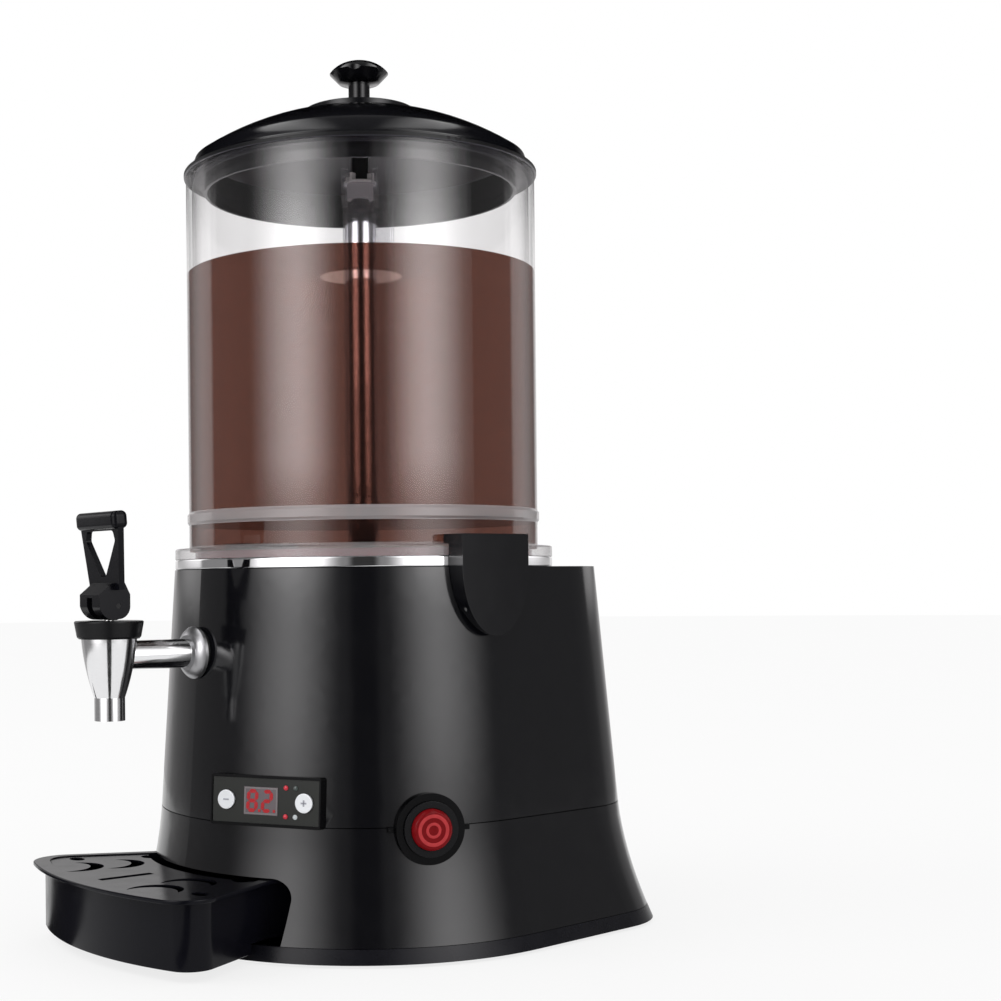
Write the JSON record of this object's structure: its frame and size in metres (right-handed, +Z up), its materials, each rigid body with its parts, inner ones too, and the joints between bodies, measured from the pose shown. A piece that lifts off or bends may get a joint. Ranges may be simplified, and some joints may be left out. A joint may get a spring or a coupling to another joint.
{
  "type": "hot chocolate dispenser",
  "caption": "Heated drink dispenser: clear lidded bowl with a turning paddle on a flared black base, with a front tap over a removable drip tray.",
  "frame": {"origin": "middle of the footprint on the floor", "axes": "+Z up, -Y towards the tap and the drip tray, +X to the right seen from the front"},
  "size_m": [0.307, 0.3818, 0.58],
  "materials": {
    "black_gloss": "polished piano black",
    "black_satin": "satin black",
    "face_black": "smooth film",
    "bowl_clear": "clear polycarbonate",
    "paddle_clear": "clear polycarbonate",
    "drive_head_ivory": "smooth",
    "drink": "liquid",
    "gasket_red": "silicone",
    "foot_rubber": "matt",
    "steel_bright": "polished stainless steel",
    "steel_plain": "plain",
    "heater_cast": "as cast",
    "motor_grey": "painted",
    "bush_bronze": "sintered",
    "jacket_felt": "felt",
    "thermostat_white": "moulded",
    "display_dark": "smoked window",
    "key_white": "smooth",
    "lamp_red": "clear cap",
    "switch_grey": "smooth",
    "switch_red": "lit cap"
  },
  "bodies": {
    "stand": {"base_plate": "black_satin", "feet": "foot_rubber", "foot_screws": "steel_plain", "lower_housing": "black_gloss", "upper_housing": "black_gloss", "rear_panel": "black_satin", "panel_screws": "steel_plain", "cord_gland": "black_satin", "product_pan": "steel_bright", "bowl_gasket": "gasket_red", "bowl": "bowl_clear", "hot_chocolate": "drink", "heater_plate": "heater_cast", "heating_element": "steel_plain", "safety_thermostat": "thermostat_white", "insulation_jacket": "jacket_felt", "centre_tube": "steel_bright", "shaft_bush_top": "bush_bronze", "shaft_bush_low": "bush_bronze", "gearbox": "heater_cast", "motor": "motor_grey", "motor_bracket": "steel_plain", "motor_screws": "steel_plain", "bracket_posts": "steel_plain", "tap_body": "steel_bright", "tap_rosette": "steel_bright", "tap_washer": "foot_rubber", "tap_locknut": "steel_plain", "tap_collar": "black_satin", "tap_spring": "steel_plain", "controller_bezel": "black_satin", "controller_face": "face_black", "controller_case": "black_satin", "display_window": "display_dark", "indicator_lights": "lamp_red", "switch_ring": "switch_grey", "switch_collar": "switch_grey", "switch_body": "black_satin", "power_board": "black_satin", "terminal_block": "black_satin", "clamp_brackets": "black_satin", "clamp_pins": "steel_plain", "clamp_springs": "steel_plain"},
    "lid_unit": {"lid": "black_gloss", "lid_stem": "black_satin", "lid_knob": "black_gloss"},
    "agitator": {"drive_shaft": "steel_bright", "drive_head": "drive_head_ivory", "paddle": "paddle_clear"},
    "valve": {"tap_stem": "steel_bright", "tap_seat_cup": "foot_rubber", "tap_pin": "steel_plain"},
    "lever": {"tap_handle": "black_satin"},
    "latch_right": {"clamp_right": "black_gloss"},
    "latch_left": {"clamp_left": "black_gloss"},
    "tray": {"drip_tray": "black_satin"},
    "grille": {"drip_grille": "black_satin"},
    "power_key": {"switch_cap": "switch_red"},
    "key_left": {"button_left": "key_white"},
    "key_right": {"button_right": "key_white"}
  },
  "joints": [
    {"name": "lid_lift", "type": "slide", "parent": "stand", "child": "lid_unit", "axis": [0, 0, 1], "range_m": [0, 0.15]},
    {"name": "agitator_spin", "type": "hinge", "parent": "stand", "child": "agitator", "pos_m": [0, 0.0258, 0.3], "axis": [0, 0, 1], "continuous": true},
    {"name": "valve_lift", "type": "slide", "parent": "stand", "child": "valve", "axis": [0, 0, 1], "range_m": [0, 0.004], "stiffness_N_per_m": 30, "springref_m": -0.004, "deforming": ["tap_spring"]},
    {"name": "lever_pull", "type": "hinge", "parent": "valve", "child": "lever", "pos_m": [0, -0.1672, 0.214], "axis": [1, 0, 0], "range_deg": [0, 70]},
    {"name": "latch_right_open", "type": "hinge", "parent": "stand", "child": "latch_right", "pos_m": [0.1332, 0.0258, 0.21], "axis": [0, 1, 0], "range_deg": [0, 15], "stiffness_Nm_per_rad": 0.8, "springref_deg": -14.32},
    {"name": "latch_left_open", "type": "hinge", "parent": "stand", "child": "latch_left", "pos_m": [-0.1332, 0.0258, 0.21], "axis": [0, -1, 0], "range_deg": [0, 15], "stiffness_Nm_per_rad": 0.8, "springref_deg": -14.32},
    {"name": "tray_pull", "type": "slide", "parent": "stand", "child": "tray", "axis": [0, -1, 0], "range_m": [0, 0.08]},
    {"name": "grille_lift", "type": "slide", "parent": "tray", "child": "grille", "axis": [0, 0, 1], "range_m": [0, 0.045]},
    {"name": "power_press", "type": "slide", "parent": "stand", "child": "power_key", "axis": [-0.9379, 0.3469, 0], "range_m": [0, 0.002], "stiffness_N_per_m": 1500, "springref_m": -0.001},
    {"name": "key_left_press", "type": "slide", "parent": "stand", "child": "key_left", "axis": [-0.4654, 0.8827, -0.0652], "range_m": [0, 0.0008], "stiffness_N_per_m": 1500, "springref_m": -0.0005},
    {"name": "key_right_press", "type": "slide", "parent": "stand", "child": "key_right", "axis": [-0.4654, 0.8827, -0.0652], "range_m": [0, 0.0008], "stiffness_N_per_m": 1500, "springref_m": -0.0005}
  ],
  "couplings": [
    {"joint": "valve_lift", "follows": "lever_pull", "m_per_rad": 0.003274}
  ]
}
